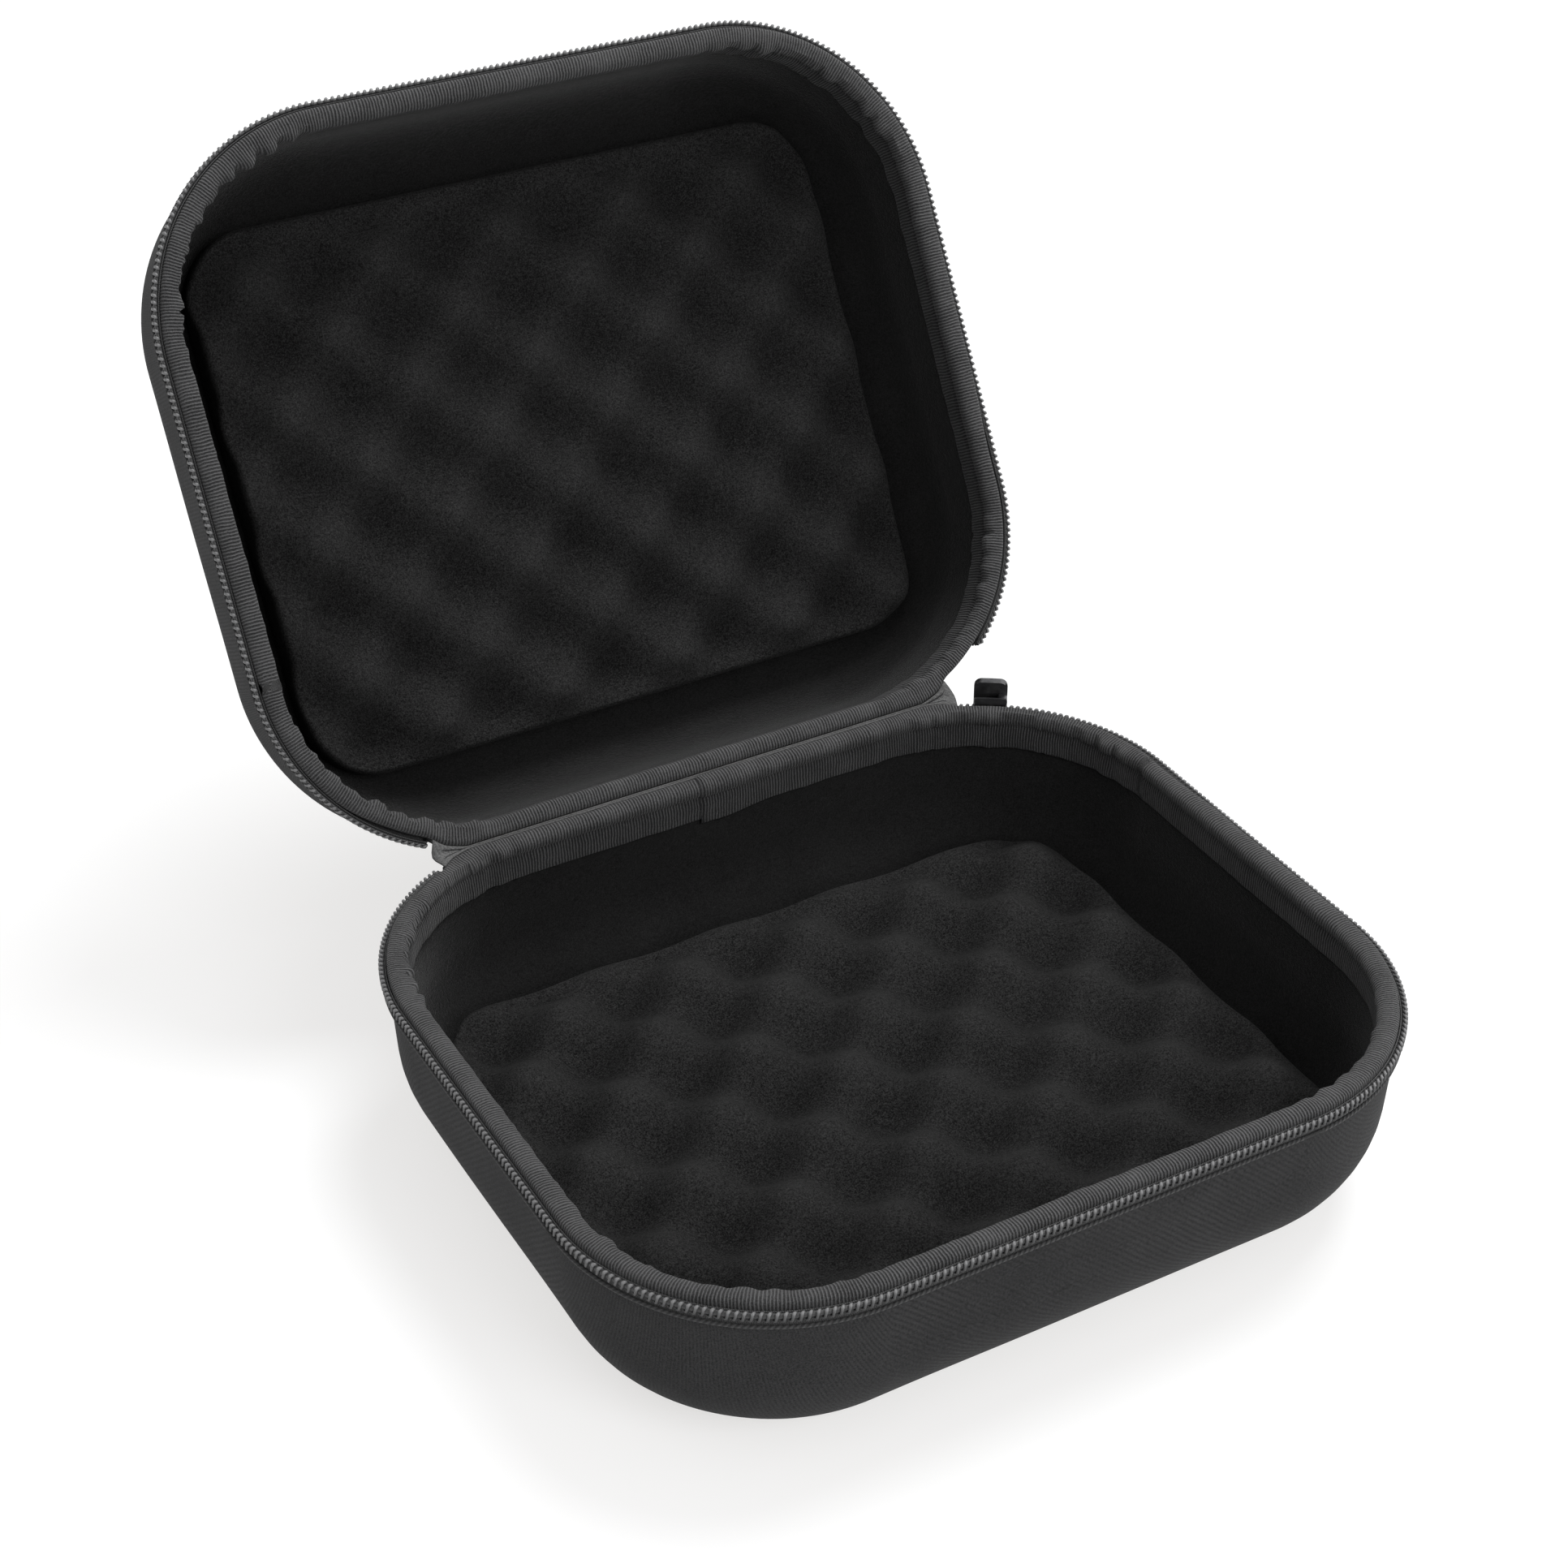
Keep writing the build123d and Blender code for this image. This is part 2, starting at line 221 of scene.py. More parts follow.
def lay_out(bm, rule=None):
    """Gives each corner its place on the cloth.

    That is along the rim and across the section, unless a rule says otherwise.
    """
    distance = bm.verts.layers.float["distance"]
    cloth = bm.loops.layers.uv.new("cloth")
    for face in bm.faces:
        spots = []
        for corner in face.loops:
            place = corner.vert.co
            if rule:
                spots.append(rule(place))
            else:
                spots.append((round_from_back(place.x, place.y), corner.vert[distance]))
        if not rule and max(s[0] for s in spots) - min(s[0] for s in spots) > AROUND / 2:
            spots = [(u + AROUND if u < AROUND / 2 else u, v) for u, v in spots]
        for corner, spot in zip(face.loops, spots):
            corner[cloth].uv = spot


def stand_up(name, bm, finish, body=None, stands_for=(), lid=False):
    """Turns a bmesh into a piece of the case."""
    if lid:
        bmesh.ops.transform(bm, matrix=LID, verts=bm.verts)
    mesh = bpy.data.meshes.new(name)
    bm.to_mesh(mesh)
    bm.free()
    mesh.materials.append(finish)
    mesh.shade_smooth()
    piece = bpy.data.objects.new(name, mesh)
    bpy.context.collection.objects.link(piece)
    if stands_for:
        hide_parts(*stands_for)
    if body:
        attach(piece, body)
    return piece


# ---------------------------------------------------------------- shader wiring


class Wire:
    """A value running between shader nodes. Sums written with it add their Math nodes."""

    def __init__(self, finish, socket):
        self.finish, self.socket = finish, socket

    def maths(self, operation, *others):
        sockets = dict(enumerate((self, *others)))
        return self.finish.node("ShaderNodeMath", {"operation": operation}, sockets)

    def __add__(self, other):
        return self.maths("ADD", other)

    def __sub__(self, other):
        return self.maths("SUBTRACT", other)

    def __mul__(self, other):
        return self.maths("MULTIPLY", other)

    def __truediv__(self, other):
        return self.maths("DIVIDE", other)

    def __rsub__(self, other):
        return self.finish.node("ShaderNodeMath", {"operation": "SUBTRACT"}, {0: other, 1: self})

    __radd__, __rmul__ = __add__, __mul__

    def wave(self):
        """A round wave from 0 to 1, one for each unit."""
        return (self * (2 * math.pi)).maths("COSINE") * 0.5 + 0.5

    def clip(self, low=0.0, high=1.0):
        return self.maths("MAXIMUM", low).maths("MINIMUM", high)


def grey(level, blue=0.0):
    """A grey with that much more blue in it."""
    return level, level, level + blue


class Finish:
    """A Principled material under construction."""

    def __init__(self, name, **constant):
        self.material = bpy.data.materials.new(name)
        self.material.use_nodes = True
        self.tree = self.material.node_tree
        self.shader = self.tree.nodes["Principled BSDF"]
        for socket, value in constant.items():
            title = socket.replace("_", " ").title().replace("Ior", "IOR")
            self.shader.inputs[title].default_value = value

    def node(self, kind, settings=None, sockets=None, out=0):
        """Adds a node, and gives the wire from one of its outputs."""
        made = self.tree.nodes.new(kind)
        for key, value in (settings or {}).items():
            setattr(made, key, value)
        for key, value in (sockets or {}).items():
            self.feed(made.inputs[key], value)
        return Wire(self, made.outputs[out])

    def feed(self, socket, value):
        if isinstance(value, Wire):
            self.tree.links.new(value.socket, socket)
        elif isinstance(value, tuple) and len(value) == 3 and socket.type == "RGBA":
            socket.default_value = (*value, 1)
        else:
            socket.default_value = value

    def paint(self, **sockets):
        for socket, value in sockets.items():
            self.feed(self.shader.inputs[socket.replace("_", " ").title()], value)

    def cloth(self):
        """Along and across the cloth, in metres."""
        place = self.node("ShaderNodeUVMap", {"uv_map": "cloth"})
        parts = self.node("ShaderNodeSeparateXYZ", None, {0: place})
        return parts, Wire(self, parts.socket.node.outputs[1])

    def spot(self):
        """The place on the piece itself, in metres."""
        return self.node("ShaderNodeTexCoord", out=3)

    def grain(self, place, size, detail=2.0, roughness=0.5):
        """Even noise from 0 to 1 with lumps of that size, in metres."""
        sockets = {"Vector": place, "Scale": 1 / size, "Detail": detail, "Roughness": roughness}
        return self.node("ShaderNodeTexNoise", None, sockets)

    def mix(self, share, one, other):
        sockets = {0: share, 6: one, 7: other}
        return self.node("ShaderNodeMix", {"data_type": "RGBA"}, sockets, out=2)

    def raise_by(self, height, distance):
        sockets = {"Height": height, "Distance": distance, "Strength": 1.0}
        self.paint(Normal=self.node("ShaderNodeBump", None, sockets))


# ---------------------------------------------------------------- finishes


def moulded_twill(name, slant, pitch, dark, light):
    """Close polyester twill pressed over the foam: slanting wales crossed by fine threads."""
    cloth = dict(sheen_weight=0.05, sheen_roughness=0.5, specular_ior_level=0.2)
    f = Finish(name, roughness=0.9, **cloth)
    u, v = f.cloth()
    here = f.spot()
    wander = f.grain(here, 12 * MM) * 0.5
    wear = (f.grain(here, 18 * MM) * 1.6 - 0.25).clip(0.15)
    sine, cosine = math.sin(slant), math.cos(slant)
    wale = ((u * sine + v * cosine) / pitch + wander).wave() * wear
    thread = ((u * cosine - v * sine) / (pitch * 0.42) + wale * 0.3).wave()
    fleck = f.grain(here, 0.42 * MM, 3.0, 0.75)
    cloud = f.grain(here, 30 * MM)
    height = wale * 0.7 + thread * 0.15 + fleck * 0.8
    shade = (wale * 0.4 + fleck * 3.3 + cloud * 0.35 - 1.45).clip()
    f.paint(base_color=f.mix(shade, dark, light), roughness=0.96 - 0.1 * wale)
    f.raise_by(height, 0.10 * MM)
    return f.material


def ribbed_ribbon(name, dark, light):
    """Grosgrain ribbon: rounded ribs across its length, with painted light: paler over the roll, darker down
    the flap, which lies in shade.
    """
    cloth = dict(sheen_weight=0.1, sheen_roughness=0.5, specular_ior_level=0.25)
    f = Finish(name, roughness=0.88, **cloth)
    u, v = f.cloth()
    here = f.spot()
    sway = f.grain(here, 5 * MM) * 1.1
    rib = (u / RIB + sway).wave()
    weft = (v / (0.28 * MM)).wave()
    fleck = f.grain(here, 0.34 * MM, 3.0, 0.75)
    cloud = f.grain(here, 9 * MM)
    # Painted light: the roll is painted paler than the flap, which stands in shade below it.
    painted_roll_light = ((14.5 * MM - v) / (3 * MM)).clip()
    shade = (rib * rib * 0.85 + fleck * 2.1 + cloud * 0.6 + painted_roll_light * 0.22 - 1.45).clip()
    f.paint(base_color=f.mix(shade, dark, light))
    f.raise_by(rib + weft * 0.06 + fleck * 0.5, 0.32 * MM)
    return f.material


def short_pile(name, dark, light, sheen, speckle, mottle, hollow=0.0):
    """Brushed pile: dull, soft-edged patches where it lies another way, and single pale fibres.

    The last three say how much the fibres and the patches change its shade, and how much painted shade
    darkens a pad's hollows and sides.
    """
    cloth = dict(sheen_weight=sheen, sheen_roughness=0.3, specular_ior_level=0.05)
    f = Finish(name, roughness=1.0, **cloth)
    here = f.spot()
    fleck = f.grain(here, 0.45 * MM, 3.0, 0.8)
    tuft = f.grain(here, 1.1 * MM)
    cloud = f.grain(here, 7 * MM, 3.0, 0.6) + f.grain(here, 30 * MM)
    shade = (fleck * 3.0 + tuft * 0.6 - 1.8) * speckle + (cloud - 1.0) * mottle + 0.4
    # Painted shade: darker where the pad's stored depth is greater, in its hollows and down its sides.
    if hollow:
        shade = shade - f.cloth()[1] * hollow
    f.paint(base_color=f.mix(shade.clip(), dark, light))
    f.raise_by(fleck + tuft * 0.6, 0.25 * MM)
    return f.material


def woven_tape(name, dark, light):
    """Zip tape: small herringbone of polyester yarn."""
    f = Finish(name, roughness=0.85, sheen_weight=0.1, specular_ior_level=0.3)
    u, v = f.cloth()
    zig = (v / (1.2 * MM)).wave() * 0.5
    yarn = (u / (0.55 * MM) + zig).wave()
    fleck = f.grain(f.spot(), 0.3 * MM, 3.0, 0.7)
    shade = (yarn * 0.6 + fleck * 0.6 - 0.2).clip()
    f.paint(base_color=f.mix(shade, dark, light))
    f.raise_by(yarn + fleck * 0.4, 0.1 * MM)
    return f.material


def nylon_loop(name, dark, light):
    """Satin nylon thread of the zip rows, with a painted highlight on the loops' heads, which catch the
    light from above.
    """
    f = Finish(name, roughness=0.42, specular_ior_level=0.5)
    along_thread = f.cloth()[1]
    # Painted highlight: paler at each loop's head, where light from above falls.
    head_highlight = (1.1 - (along_thread - 0.4).maths("ABSOLUTE") * 4.5).clip()
    fleck = f.grain(f.spot(), 0.5 * MM, 3.0, 0.6)
    shade = (head_highlight * 0.85 + fleck * 0.4 - 0.12).clip()
    f.paint(base_color=f.mix(shade, dark, light), roughness=0.34 + 0.2 * fleck)
    f.raise_by(fleck, 0.03 * MM)
    return f.material


def twisted_yarn(name, dark, light):
    """Two-ply cord: its plies slant round it."""
    f = Finish(name, roughness=0.8, sheen_weight=0.1, specular_ior_level=0.35)
    u, v = f.cloth()
    ply = (u / (1.5 * MM) + v / (1.6 * MM)).wave()
    fibre = (u / (0.35 * MM) + v / (0.8 * MM)).wave()
    f.paint(base_color=f.mix((ply * 0.8 + fibre * 0.2).clip(), dark, light))
    f.raise_by(ply + fibre * 0.2, 0.22 * MM)
    return f.material


def black_nickel(name):
    """Plated zinc: dark, with a brushed grain and paler worn high spots."""
    f = Finish(name, metallic=1.0)
    here = f.spot()
    brushed = f.node("ShaderNodeMapping", None, {"Vector": here, "Scale": (1.0, 1.0, 14.0)})
    line = f.grain(brushed, 0.6 * MM, 3.0, 0.6)
    blot = f.grain(here, 2.5 * MM, 3.0)
    shade = (line * 0.5 + blot * 0.5).clip()
    f.paint(base_color=f.mix(shade, grey(0.05, 0.004), grey(0.17, 0.005)))
    f.paint(roughness=0.22 + 0.25 * blot + 0.08 * line)
    f.raise_by(line, 0.012 * MM)
    return f.material


def grip_rubber(name):
    """Soft moulded rubber with a fine spark grain."""
    f = Finish(name, roughness=0.65, specular_ior_level=0.4)
    here = f.spot()
    grain = f.grain(here, 0.22 * MM, 3.0, 0.6)
    blot = f.grain(here, 4 * MM)
    shade = (grain * 0.5 + blot * 0.5).clip()
    f.paint(base_color=f.mix(shade, grey(0.012, 0.001), grey(0.03, 0.002)))
    f.paint(roughness=0.55 + 0.25 * grain)
    f.raise_by(grain, 0.03 * MM)
    return f.material


# ---------------------------------------------------------------- shells
# Sections are lists of (inside the outline, below the rim), both in mm.

DRAFT = math.radians(3.0)  # how far the wall leans in
WALL = 1.7  # where the wall would meet the rim's height
EDGE = 31.0  # radius of the rolled edge between wall and floor
EDGE_TOP, EDGE_STEPS = 26, 14
FOLDED_TOP = [
    (4.9, 1.15), (4.45, 1.0), (4.05, 1.2), (3.95, 3.0), (3.95, 6.3),
    (3.6, 6.85), (3.0, 6.95), (2.5, 7.0), (2.2, 7.15), (2.08, 7.5),
]
WALL_RINGS = (8.6, 10, 12, 15, 18, 21, 24, EDGE_TOP)
FLOOR_RINGS = (38, 43, 48, 54, 59.6)
SKIN_GIVE = 0.22 * MM  # how far the cloth swells and sinks


def shell_section():
    """The outer skin: folded top edge, drafted wall, rolled edge, and in under the floor."""
    points = list(FOLDED_TOP)
    for below in WALL_RINGS:
        points.append((WALL + below * math.tan(DRAFT), below))
    middle = (WALL + EDGE_TOP * math.tan(DRAFT) + EDGE / math.cos(DRAFT), EDGE_TOP)
    for i in range(EDGE_STEPS + 1):
        a = DRAFT + (math.pi / 2 - DRAFT) * i / EDGE_STEPS
        points.append((middle[0] - EDGE * math.cos(a), middle[1] + EDGE * math.sin(a)))
    return points + [(inside, 57.0) for inside in FLOOR_RINGS]


def pressed_cloth(place):
    """Where a point of the skin lies on the flat cloth that was pressed over it."""
    way = out_of(place.x, place.y)
    rest = Vector((place.x, place.y, 0)) + way * place.z
    return rest.x, rest.y


def shell_skin(name, finish, node, body, lid):
    bm = bmesh.new()
    carry_round(bm, shell_section(), 0, AROUND, 3.0 * MM, closed=False, turn_step=2.6 * MM)
    bmesh.ops.remove_doubles(bm, verts=bm.verts, dist=1e-6)
    floor = min(v.co.z for v in bm.verts)
    open_edges = [e for e in bm.edges if e.is_boundary]
    middle = [e for e in open_edges if all(v.co.z < floor + 1e-5 for v in e.verts)]
    bmesh.ops.holes_fill(bm, edges=middle, sides=0)
    bmesh.ops.remove_doubles(bm, verts=bm.verts, dist=0.35 * MM)
    bm.normal_update()
    under = [f for f in bm.faces if f.calc_center_median().z < 10 * MM]
    if sum(f.normal.z * f.calc_area() for f in under) > 0:
        bmesh.ops.reverse_faces(bm, faces=bm.faces)
    lay_out(bm, pressed_cloth)
    for vert in bm.verts:
        x, y, z = vert.co
        if z > RIM - 9 * MM:
            continue
        give = noise.noise(Vector((x, y, z)) * 28) * SKIN_GIVE
        give *= smooth(RIM - z, 9 * MM, 16 * MM) * smooth(z, 0.0, 8 * MM)
        vert.co += out_of(x, y) * give
    return stand_up(name, bm, finish, body, [node], lid)


# ---------------------------------------------------------------- bindings

ROLL = [
    (3.2, 6.6), (3.2, 5.0), (3.2, 3.2), (3.22, 1.9), (3.42, 0.95), (3.95, 0.4), (4.7, 0.17),
    (5.5, 0.15), (6.4, 0.28), (7.2, 0.65), (7.8, 1.3), (8.1, 2.1), (8.15, 3.0),
]
CREASE = [(8.05, 3.7), (7.65, 4.4), (7.0, 4.95), (6.86, 5.5)]
FLAP = [(7.15, 6.2), (7.3, 7.4), (7.32, 9.4), (7.32, 11.0), (7.25, 12.3), (7.05, 12.8)]
INSIDE = [
    (6.72, 12.6), (6.62, 10.0), (6.42, 6.0), (6.4, 2.4), (6.1, 1.3),
    (5.5, 0.8), (4.7, 0.8), (4.0, 1.05), (3.78, 2.0), (3.78, 6.6),
]
CEILING, INNER_CEILING = 0.08 * MM, 0.6 * MM  # least depth below the rim of its two sides
OVER_LINING = 0.7 * MM  # most depth where the ribbon crosses the lining's edge
FULLEST = 1.7 * MM  # most that the rolls swell by the hinge
LEAN = 1.02 * MM  # how far the outer leg moves out to the zip tape
LAP_LIFT, LAP_PRESS = 0.55 * MM, 0.25 * MM  # where the ribbon's ends meet


def section_length(points):
    return sum(math.hypot(a[0] - b[0], a[1] - b[1]) for a, b in zip(points, points[1:])) * MM


FACE_SIDE = section_length(ROLL + CREASE + FLAP) + 0.2 * MM  # where the side that shows ends


def in_corner(s):
    """1 in the middle of a corner, 0 on the straight runs."""
    s %= AROUND
    for kind, start, length, _ in LEGS:
        stop = start + length
        if kind == "turn" and start - 0.01 < s < stop + 0.01:
            rise = smooth(s, start - 0.008, start + 0.02)
            return rise * (1 - smooth(s, stop - 0.02, stop + 0.008))
    return 0.0


def fullness(s):
    """How far the rolls swell past the wall where the two rims begin to part beside the hinge."""
    s = min(s % AROUND, -s % AROUND)
    parted = ROUND * (1 - math.cos(max(s - MID_X, 0) / ROUND))
    return min(parted, FULLEST) * (1 - smooth(s, 0.080, 0.087))


def against_tape(s, lid):
    """1 where the ribbon's outer leg leans on the zip tape.

    0 by the hinge and where the slider runs between the two.
    """
    s %= AROUND
    if lid:
        s = AROUND - s
    row_end = AROUND - ROW_END
    return smooth(s, 0.165, 0.185) * (1 - smooth(s, row_end - 0.030, row_end - 0.010))


def fold_at(s, seed):
    """The ribbon's folds at a place round the rim: round humps with tight valleys."""
    broad = abs(noise.noise(Vector((s * 120, seed, 0))))
    narrow = abs(noise.noise(Vector((s * 290, seed + 5, 0))))
    return 2.4 * (broad + 0.5 * narrow) - 0.7


def gather(bm, seed, edge_wave, front, lid):
    """Puckers the ribbon: folds in its free edge, deeper in the corners, and an uneven roll.

    The front corners keep only a share of their folds, as the ribbon is drawn tighter there.
    """
    distance = bm.verts.layers.float["distance"]
    for vert in bm.verts:
        x, y, z = vert.co
        s = round_from_back(x, y)
        out = out_of(x, y)
        below = (RIM - z) / MM
        inside = (rim_place(s) - Vector((x, y, RIM))).to_2d().length / MM
        corner = in_corner(s) * (front + (1 - front) * smooth(y, -0.03, 0.05))
        tight = 0.35 + corner
        fold = fold_at(s, seed)
        swell = noise.noise(Vector((s * 90, seed + 9, below * 0.12)))
        drawn = 0.0
        if inside > 6:
            shoulder = smooth(inside, 6.2, 7.8) * (1 - smooth(below, 4.0, 7.0))
            free = smooth(below, 5.0, 12.5)
            drawn = fold * (0.7 * tight + 0.6 * corner) * shoulder
            drawn += (fold * 0.4 + 0.3) * tight * free
            vert.co -= out * drawn * MM
            ripple = noise.noise(Vector((s * 140, seed + 20, 0)))
            vert.co.z += ripple * edge_wave * free * (0.5 + tight) * MM
        top = 1 - smooth(below, 1.5, 6.0)
        vert.co.z += (swell * 0.2 + fold * 0.12 * smooth(inside, 5.0, 7.5) * tight - 0.1) * top * MM
        vert.co.z += (fold - 1.2) * 0.32 * tight * smooth(inside, 4.0, 6.5) * top * MM
        face = vert[distance] < FACE_SIDE
        vert.co.z = min(vert.co.z, RIM - (CEILING if face else INNER_CEILING))
        if face and below < 1 and 4 < inside and inside + drawn < 6.9:
            vert.co.z = max(vert.co.z, RIM - OVER_LINING)
        if inside < 6:
            vert.co += out * (fullness(s) * top)
        if face and inside < 5.5:
            lean = LEAN * (1 - smooth(inside, 3.4, 5.5)) * (1 - smooth(below, 4.5, 6.0))
            vert.co += out * (lean * against_tape(s, lid))


def lay_over(bm, start, stop):
    """Lays one end of the ribbon over the other: lifts the first and presses the last in."""
    half = len(bm.verts) / 2
    bm.normal_update()
    lifts = []
    for vert in bm.verts:
        s = round_from_back(vert.co.x, vert.co.y)
        if vert.index < half:
            gone = (s - start) % AROUND
            lifts.append(LAP_LIFT * (1 - smooth(gone, 0.008, 0.024)))
        else:
            left = (stop - s) % AROUND
            lifts.append(-LAP_PRESS * (1 - smooth(left, 0.012, 0.020)))
    distance = bm.verts.layers.float["distance"]
    for vert, lift in zip(bm.verts, lifts):
        if vert[distance] < FACE_SIDE:
            vert.co += vert.normal * lift
        vert.co.z -= 2 * max(lift, 0) * smooth(RIM - vert.co.z, 0.008, 0.013)


def binding(name, finish, node, body, lid, seed, start, stop):
    """The ribbon folded over the rim, with its ends lapped if it is longer than the rim."""
    bm = bmesh.new()
    section = ROLL + CREASE + FLAP + INSIDE
    ends = carry_round(bm, section, start, stop, 1.6 * MM, turn_step=1.3 * MM)
    if stop - start > AROUND:
        for ring in ends:
            bmesh.ops.contextual_create(bm, geom=ring)
        bmesh.ops.recalc_face_normals(bm, faces=bm.faces)
        bm.verts.index_update()
        lay_over(bm, start, stop)
    else:
        close_up(bm)
    lay_out(bm)
    edge_wave, front = (0.7, 1.0) if lid else (0.3, 0.25)
    gather(bm, seed, edge_wave, front, lid)
    return stand_up(name, bm, finish, body, [node], lid)


# ---------------------------------------------------------------- zip rows

TAPE = [
    (1.62, 6.6), (1.6, 4.4), (1.6, 2.9), (1.68, 2.5), (1.8, 2.4), (1.94, 2.5),
    (2.0, 2.9), (2.0, 5.8), (2.4, 6.4), (3.1, 6.5), (3.1, 6.85), (1.9, 6.88),
]
CORD_INSIDE, CORD_BELOW, CORD_RADIUS, CORD_SIDES = 1.0, 6.7, 0.5, 10  # the first three in mm
LOOP_ROUTE = [  # along the row in loops, then inside and below in mm
    (0.0, 1.2, 4.3), (0.0, 1.2, 3.0), (0.08, 1.0, 2.35), (0.2, 0.72, 2.25), (0.32, 0.47, 2.45),
    (0.38, 0.45, 3.1), (0.48, 0.45, 4.2), (0.66, 0.7, 4.55), (0.86, 1.0, 4.55), (1.0, 1.2, 4.3),
]
WIRE, HEAD_SWELL, HEAD = 0.39, 0.1, 4  # radius in mm, how much more at the head, and its ring
CORE_INSIDE, CORE_BELOW = 1.12 * MM, 3.4 * MM  # the cord that the loops are wound on
CORE_TALL, CORE_THICK = 0.95 * MM, 0.56 * MM


def sewn_strip(section, span):
    """One section carried along a zip row and closed at both ends."""
    bm = bmesh.new()
    ends = carry_round(bm, section, *span, 3 * MM)
    close_up(bm, ends)
    lay_out(bm)
    return bm


def zip_tape(name, finish, node, body, lid, span):
    bm = sewn_strip(TAPE, span)
    return stand_up(name, bm, finish, body, [node], lid)


def edge_cord(name, finish, node, body, lid, span):
    section = []
    for i in range(CORD_SIDES):
        a = i * 2 * math.pi / CORD_SIDES
        inside = CORD_INSIDE + CORD_RADIUS * math.cos(a)
        section.append((inside, CORD_BELOW + CORD_RADIUS * math.sin(a)))
    bm = sewn_strip(section, span)
    return stand_up(name, bm, finish, body, [node], lid)


def one_loop():
    """One turn of the nylon spiral and its share of the cord inside it.

    X runs along the row, Y inwards and Z up from the rim.
    """
    bm = bmesh.new()
    share = bm.verts.layers.float.new("distance")
    points = [Vector((t * LOOP, w * MM, -d * MM)) for t, w, d in LOOP_ROUTE]
    last = len(points) - 1
    rings = []

    def add_ring(turned, radius, place):
        ring = bmesh.ops.create_circle(bm, segments=6, radius=radius, matrix=turned)["verts"]
        for vert in ring:
            vert[share] = place
        rings.append(list({e for v in ring for e in v.link_edges}))

    for i, point in enumerate(points):
        way = points[min(i + 1, last)] - points[max(i - 1, 0)]
        if i in (0, last):
            way = Vector((0.22, 0.25, 1.0))
        turned = Matrix.Translation(point) @ way.to_track_quat("Z", "X").to_matrix().to_4x4()
        radius = (WIRE + HEAD_SWELL * math.exp(-((i - HEAD) ** 2) / 1.5)) * MM
        add_ring(turned, radius, i / last)
        if i:
            bmesh.ops.bridge_loops(bm, edges=rings[-2] + rings[-1])
    for place in (0, 1):
        middle = Matrix.Translation((place * LOOP, CORE_INSIDE, -CORE_BELOW))
        upright = middle @ Matrix.Rotation(math.pi / 2, 4, "Y")
        add_ring(upright @ Matrix.Diagonal((CORE_TALL, CORE_THICK, 1, 1)), 1.0, 0.0)
    bmesh.ops.bridge_loops(bm, edges=rings[-2] + rings[-1])
    cloth = bm.loops.layers.uv.new("cloth")
    for face in bm.faces:
        for corner in face.loops:
            corner[cloth].uv = 0.0, corner.vert[share]
    mesh = bpy.data.meshes.new("loop")
    bm.to_mesh(mesh)
    bm.free()
    return mesh


def zip_row(name, finish, node, body, lid, span):
    """Loops set side by side along the tape."""
    bm, loop = bmesh.new(), one_loop()
    count = round((span[1] - span[0]) / LOOP)
    for i in range(count):
        s = span[0] + (span[1] - span[0]) * i / count
        at = rim_place(s)
        out = out_of(at.x, at.y)
        along = Vector((out.y, -out.x, 0))
        place = Matrix((along, -out, (0, 0, 1))).transposed().to_4x4()
        place.translation = at
        loop.transform(place)
        bm.from_mesh(loop)
        loop.transform(place.inverted())
    bpy.data.meshes.remove(loop)
    bmesh.ops.recalc_face_normals(bm, faces=bm.faces)
    return stand_up(name, bm, finish, body, [node], lid)


# ---------------------------------------------------------------- wavy pads

PAD_X, PAD_Y, PAD_ROUND = 0.100, 0.0795, 0.019  # half its length and width, and its corners
PAD_FOOT, PAD_TOP = 4.1 * MM, 24.1 * MM
PAD_CELLS = (88, 70)
DRAWN_IN = (0.974, 0.98)  # how the cover draws in its length and its width
CORE_MARGIN = 0.02  # the sides roll over away from what is further in than this
SIDE_ROLL, ROLL_RINGS, SIDE_RINGS = 3.5 * MM, 5, 4
BUMP = 19.2 * MM  # from a peak to the next hollow
WAVE = 5.0 * MM  # half the height from the hollows to the peaks
EDGE_SINK = 4.5 * MM  # what the pad's edges are pressed down to
LID_SHIFT = 1.3 * MM  # how far to the side the lid's pad is stuck
TRAY_EDGE, TRAY_MIDDLE = 26.6 * MM, 34.1 * MM  # radius and middle of the lining's rolled edge


def wave_depth(x, y, shift):
    """How far the pad's face is below its peaks."""
    along = math.cos(math.pi * (x - shift[0]) / BUMP)
    return WAVE * (1 + along * math.cos(math.pi * (y - shift[1]) / BUMP))


def keep_off_lining(vert):
    """Lifts a point of the pad that would lie in the rolled edge of the tray."""
    x, y, z = vert.co
    s = round_from_back(x, y)
    inside = (rim_place(s) - Vector((x, y, RIM))).to_2d().length
    if inside < TRAY_MIDDLE:
        across = min(TRAY_MIDDLE - inside, TRAY_EDGE)
        drop = math.sqrt(TRAY_EDGE * TRAY_EDGE - across * across)
        vert.co.z = max(z, RIM - EDGE_TOP * MM - drop)


def round_off(bm):
    """Gives a flat grid, one to each side of its middle, the pad's outline."""
    for vert in bm.verts:
        x, y = vert.co.x * PAD_X, vert.co.y * PAD_Y
        over_x, over_y = abs(x) - PAD_X + PAD_ROUND, abs(y) - PAD_Y + PAD_ROUND
        if over_x > 0 and over_y > 0:
            u, v = over_x / PAD_ROUND, over_y / PAD_ROUND
            x = math.copysign(PAD_X - PAD_ROUND + PAD_ROUND * u * math.sqrt(1 - v * v / 2), x)
            y = math.copysign(PAD_Y - PAD_ROUND + PAD_ROUND * v * math.sqrt(1 - u * u / 2), y)
        vert.co = (x * DRAWN_IN[0], y * DRAWN_IN[1], 0)


